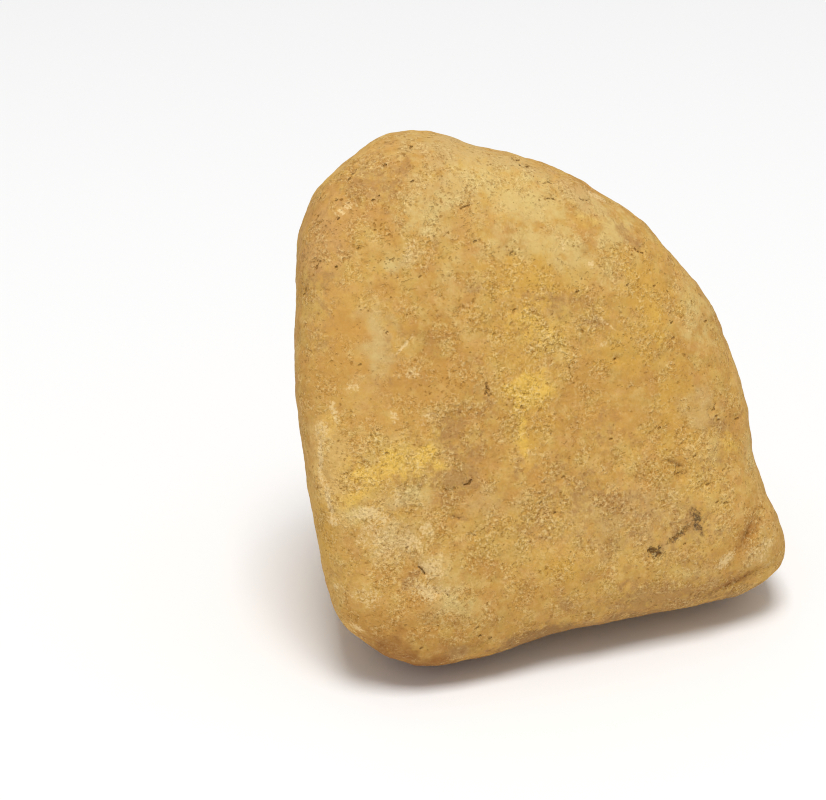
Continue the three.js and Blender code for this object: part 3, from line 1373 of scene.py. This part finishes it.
FRONT_DENTS = (
    Dent("crown slit", ((-23.5, 78.5), (-22, 79.4), (-20, 80)), 0.32, 0.6, 0.7),
    Dent("upper slit", ((-30.5, 67.3), (-29.8, 68.2), (-28.5, 69)), 0.32, 0.5, 0.6),
    Dent("left slit", ((-81, 54.5), (-80.6, 56), (-79.5, 57.5)), 0.32, 0.6, 0.7),
    Dent("left edge slit", ((-87, 44), (-86.2, 45.4), (-86, 47)), 0.32, 0.6, 0.8),
    Dent("long slit at the upper left", ((-69, 89.5), (-66.5, 94)), 0.3, 0.5, 0.7),
    Dent("streak at the upper edge", ((-3.5, 97.6), (-2, 97.1), (-0.5, 97.2)), 0.32, 0.5, 0.6),
    Dent("streak below it", ((-0.5, 95.4), (1.5, 94.9), (4, 95.2)), 0.32, 0.5, 0.5),
    Dent("streak on the shoulder", ((9.5, 89), (11, 89.4), (13.5, 89.2)), 0.32, 0.5, 0.5),
    Dent("streak at its middle", ((10.5, 82.7), (13, 83), (15, 82.5)), 0.32, 0.4, 0.4),
    Dent("streak at its end", ((24, 82.8), (26, 82.3), (28, 82.7)), 0.32, 0.4, 0.45),
    Dent("shoulder slit", ((45.8, 62.6), (47, 61.6), (49.2, 60.8)), 0.32, 0.5, 0.6),
    Dent("middle pit", ((-13.4, 8.8), (-12.8, 6.4), (-13.8, 4.4)), 0.42, 0.8, 0.7),
    Dent("middle pit's branch", ((-12.8, 6.4), (-11.4, 4.2)), 0.42, 0.8, 0.6),
    Dent("heart pit", ((0.8, -0.6), (1.4, -1.4)), 0.6, 0.7, 0.6),
    Dent("brown smear", ((-28, -44.8), (-25.4, -45.3), (-23, -45.4)), 0.9, 0.4, 0.35),
    Dent("scratch", ((-48.8, 20.6), (-43.2, 27.4)), 0.5, 0.15, 0.0),
    Dent("scratch by the heart", ((33.4, 33.8), (38.6, 29.8)), 0.5, 0.15, 0.0),
    Dent("scuff at the left edge", ((-80, -13), (-80, -31)), 0.6, 0.2, 0.0),
    Dent("scuff below it", ((-78.6, -31.5), (-75.4, -44.5)), 0.6, 0.2, 0.0),
    Dent("curl", ((-22, -32), (-20.3, -31.5), (-19.6, -30)), 0.36, 0.8),
    Dent("olive smear", ((-30, -34), (-26, -34)), 1.2, 0.4, 0.5),
    Dent("low middle slit", ((-21, -51.3), (-19.5, -51.5), (-17.5, -52.4)), 0.32, 0.5, 0.5),
    Dent("low slit", ((-40.4, -64.8), (-38.8, -66.2), (-37.8, -67.8)), 0.42, 1.0, 0.8),
    Dent("foot slit", ((-30, -74.6), (-29.4, -75.6), (-28.4, -76.4)), 0.4, 0.8, 0.6),
    Dent("foot slit's fellow", ((-33.4, -75.2), (-32.6, -75.9)), 0.4, 0.6, 0.5),
    Dent("belly crease", ((-47, -58), (-41, -65), (-36, -70), (-32, -76)), 1.6, 0.7, 0.1),
    Dent("belly ridge", ((-38, -60), (-30, -68), (-24, -79)), 4.0, -0.8, 0.0),
    Dent("manganese pit", ((52, -58.5), (56, -59.5)), 1.8, 1.0, 0.6),
    Dent("manganese seam", ((60, -55), (62.5, -53), (67.5, -49)), 1.0, 0.6, 0.6),
    Dent("right pit", ((60.2, -22.7), (63, -24.3), (64.8, -24.6)), 0.8, 0.6, 0.35),
    Dent("right chain", ((78.5, 0.4), (78.2, -1.1), (77.9, -2.4)), 0.36, 0.5, 0.7),
    Dent("toe groove", ((95, -44), (92, -52), (88, -60), (84, -66)), 3.0, 0.9, 0.1),
    Dent("toe crease", ((93.4, -48.4), (92.2, -51.2), (89.8, -54.6)), 0.9, 0.6, 0.25),
    Dent("toe edge crease", ((95.6, -65.8), (88, -70.8), (80, -74.4), (70.8, -76.8)), 0.8, 0.45, 0.3),
    Dent("lower lip crease", ((36, -80), (60, -78), (75, -75), (97, -66)), 2.6, 0.8, 0.15),
    Dent("chin crease", ((-56.5, -90.5), (-45, -89), (-35.5, -88), (-27, -89)), 2.0, 1.2, 0.15),
    Dent("swell of the crown", ((-50, 108), (-36, 110)), 9.0, -1.1, 0.0),
    Dent("swell beside the crown", ((-60.5, 105),), 5.0, -0.8, 0.0),
    Dent("hollow above the upper left", ((-75, 93), (-70, 97.5)), 6.0, 0.5, 0.0),
    Dent("hollow of the saddle", ((-20, 104.5),), 5.0, 0.5, 0.0),
    Dent("swell beside the saddle", ((-4, 101), (6, 98.5)), 8.0, -0.95, 0.0),
    Dent("hollow of the shoulder", ((31, 85),), 6.0, 0.8, 0.0),
    Dent("swell of the shoulder", ((44, 77), (48, 73)), 7.0, -0.9, 0.0),
    Dent("swell of the right flank", ((72, 46), (76, 41)), 8.0, -1.3, 0.0),
    Dent("swell at the waist", ((91, -4), (92, -10)), 6.0, -1.1, 0.0),
    Dent("hollow of the waist", ((99, -36),), 5.0, 0.8, 0.0),
    Dent("swell at the upper left", ((-89, 66), (-89, 56)), 10.0, -1.4, 0.0),
    Dent("swell at the lower left", ((-74, -84), (-72, -86)), 6.0, -0.8, 0.0),
    Dent("hollow left of the chin", ((-62, -94), (-58, -97)), 6.0, 0.9, 0.0),
    Dent("swell under the chin", ((-38, -105), (-18, -101.5), (0, -95.5)), 7.0, -1.0, 0.0),
    Dent("swell of the lower lip", ((34, -88), (68, -81.5)), 6.0, -0.6, 0.0),
)

BACK_DENTS = (
    Dent("crease", ((38, 8), (44, 3), (49, -1), (52, -8)), 2.2, 0.9, 0.15),
    Dent("slit", ((-28, 50), (-26.4, 51.2), (-24.6, 51.6)), 0.4, 0.8, 0.7),
    Dent("upper slit", ((-50, 72), (-48.8, 73.4), (-48, 75.4)), 0.4, 0.8, 0.7),
    Dent("low slit", ((-14, -10), (-12, -10.8), (-10.4, -12.2)), 0.4, 0.8, 0.7),
    Dent("pit", ((50, -2), (51.6, -2.8)), 1.2, 1.0, 0.6),
    Dent("hollow", ((-2, 62), (8, 58)), 6.0, 0.9, 0.0),
)

PORE = Dent("pore", ((-0.3, -0.2), (0.3, 0.2)), 0.4, 0.45, 0.85)

PORE_PLACES = (
    (-43.6, 103), (-54, 96), (-43, 89.6), (-56.4, 83.8), (-58.8, 82), (-73.4, 82), (-72.8, 74.5),
    (-64.7, 62.6), (-73.4, 55.4), (-51.6, 58), (-40, 51.3), (-48.5, 50.8), (-17.9, 65.5), (-3.2, 61),
    (23, 45.3), (-2, 38), (43, 48), (54, 47.7), (61, 33), (61.4, 26.7), (74.4, 33.6), (38.5, 18.3),
    (55.8, -9.3), (36.4, -13.6), (86.9, -5.5), (69.6, -20.5), (81.6, -26), (63.2, -27.6), (75.2, -31.8),
    (78.8, -4.6), (79.6, -6), (79, -39), (82.6, -39.2), (17.5, -29), (8.3, -39.2), (14.2, -43.5),
    (-45, -57), (-17, -89.2), (-16, -92.4), (-39.6, -97), (-12, -93), (-53, 29), (-64, 16), (65.8, -55.6),
)


def main() -> None:
    """Builds the stone and the studio."""
    logging.basicConfig(level=logging.INFO)
    sight = Sight()
    stains = {Side.FRONT: FRONT_STAINS, Side.BACK: BACK_STAINS}
    pores = tuple(PORE.moved(place) for place in PORE_PLACES)
    dents = {Side.FRONT: FRONT_DENTS + pores, Side.BACK: BACK_DENTS}
    rock = Rock(sight, stains, dents)
    stone = rock.build()
    rock.dress(stone, Sandstone())
    log.info("%s: %d triangles", stone.name, len(stone.data.polygons))
    Studio(sight).build()


if __name__ == "__main__":
    main()
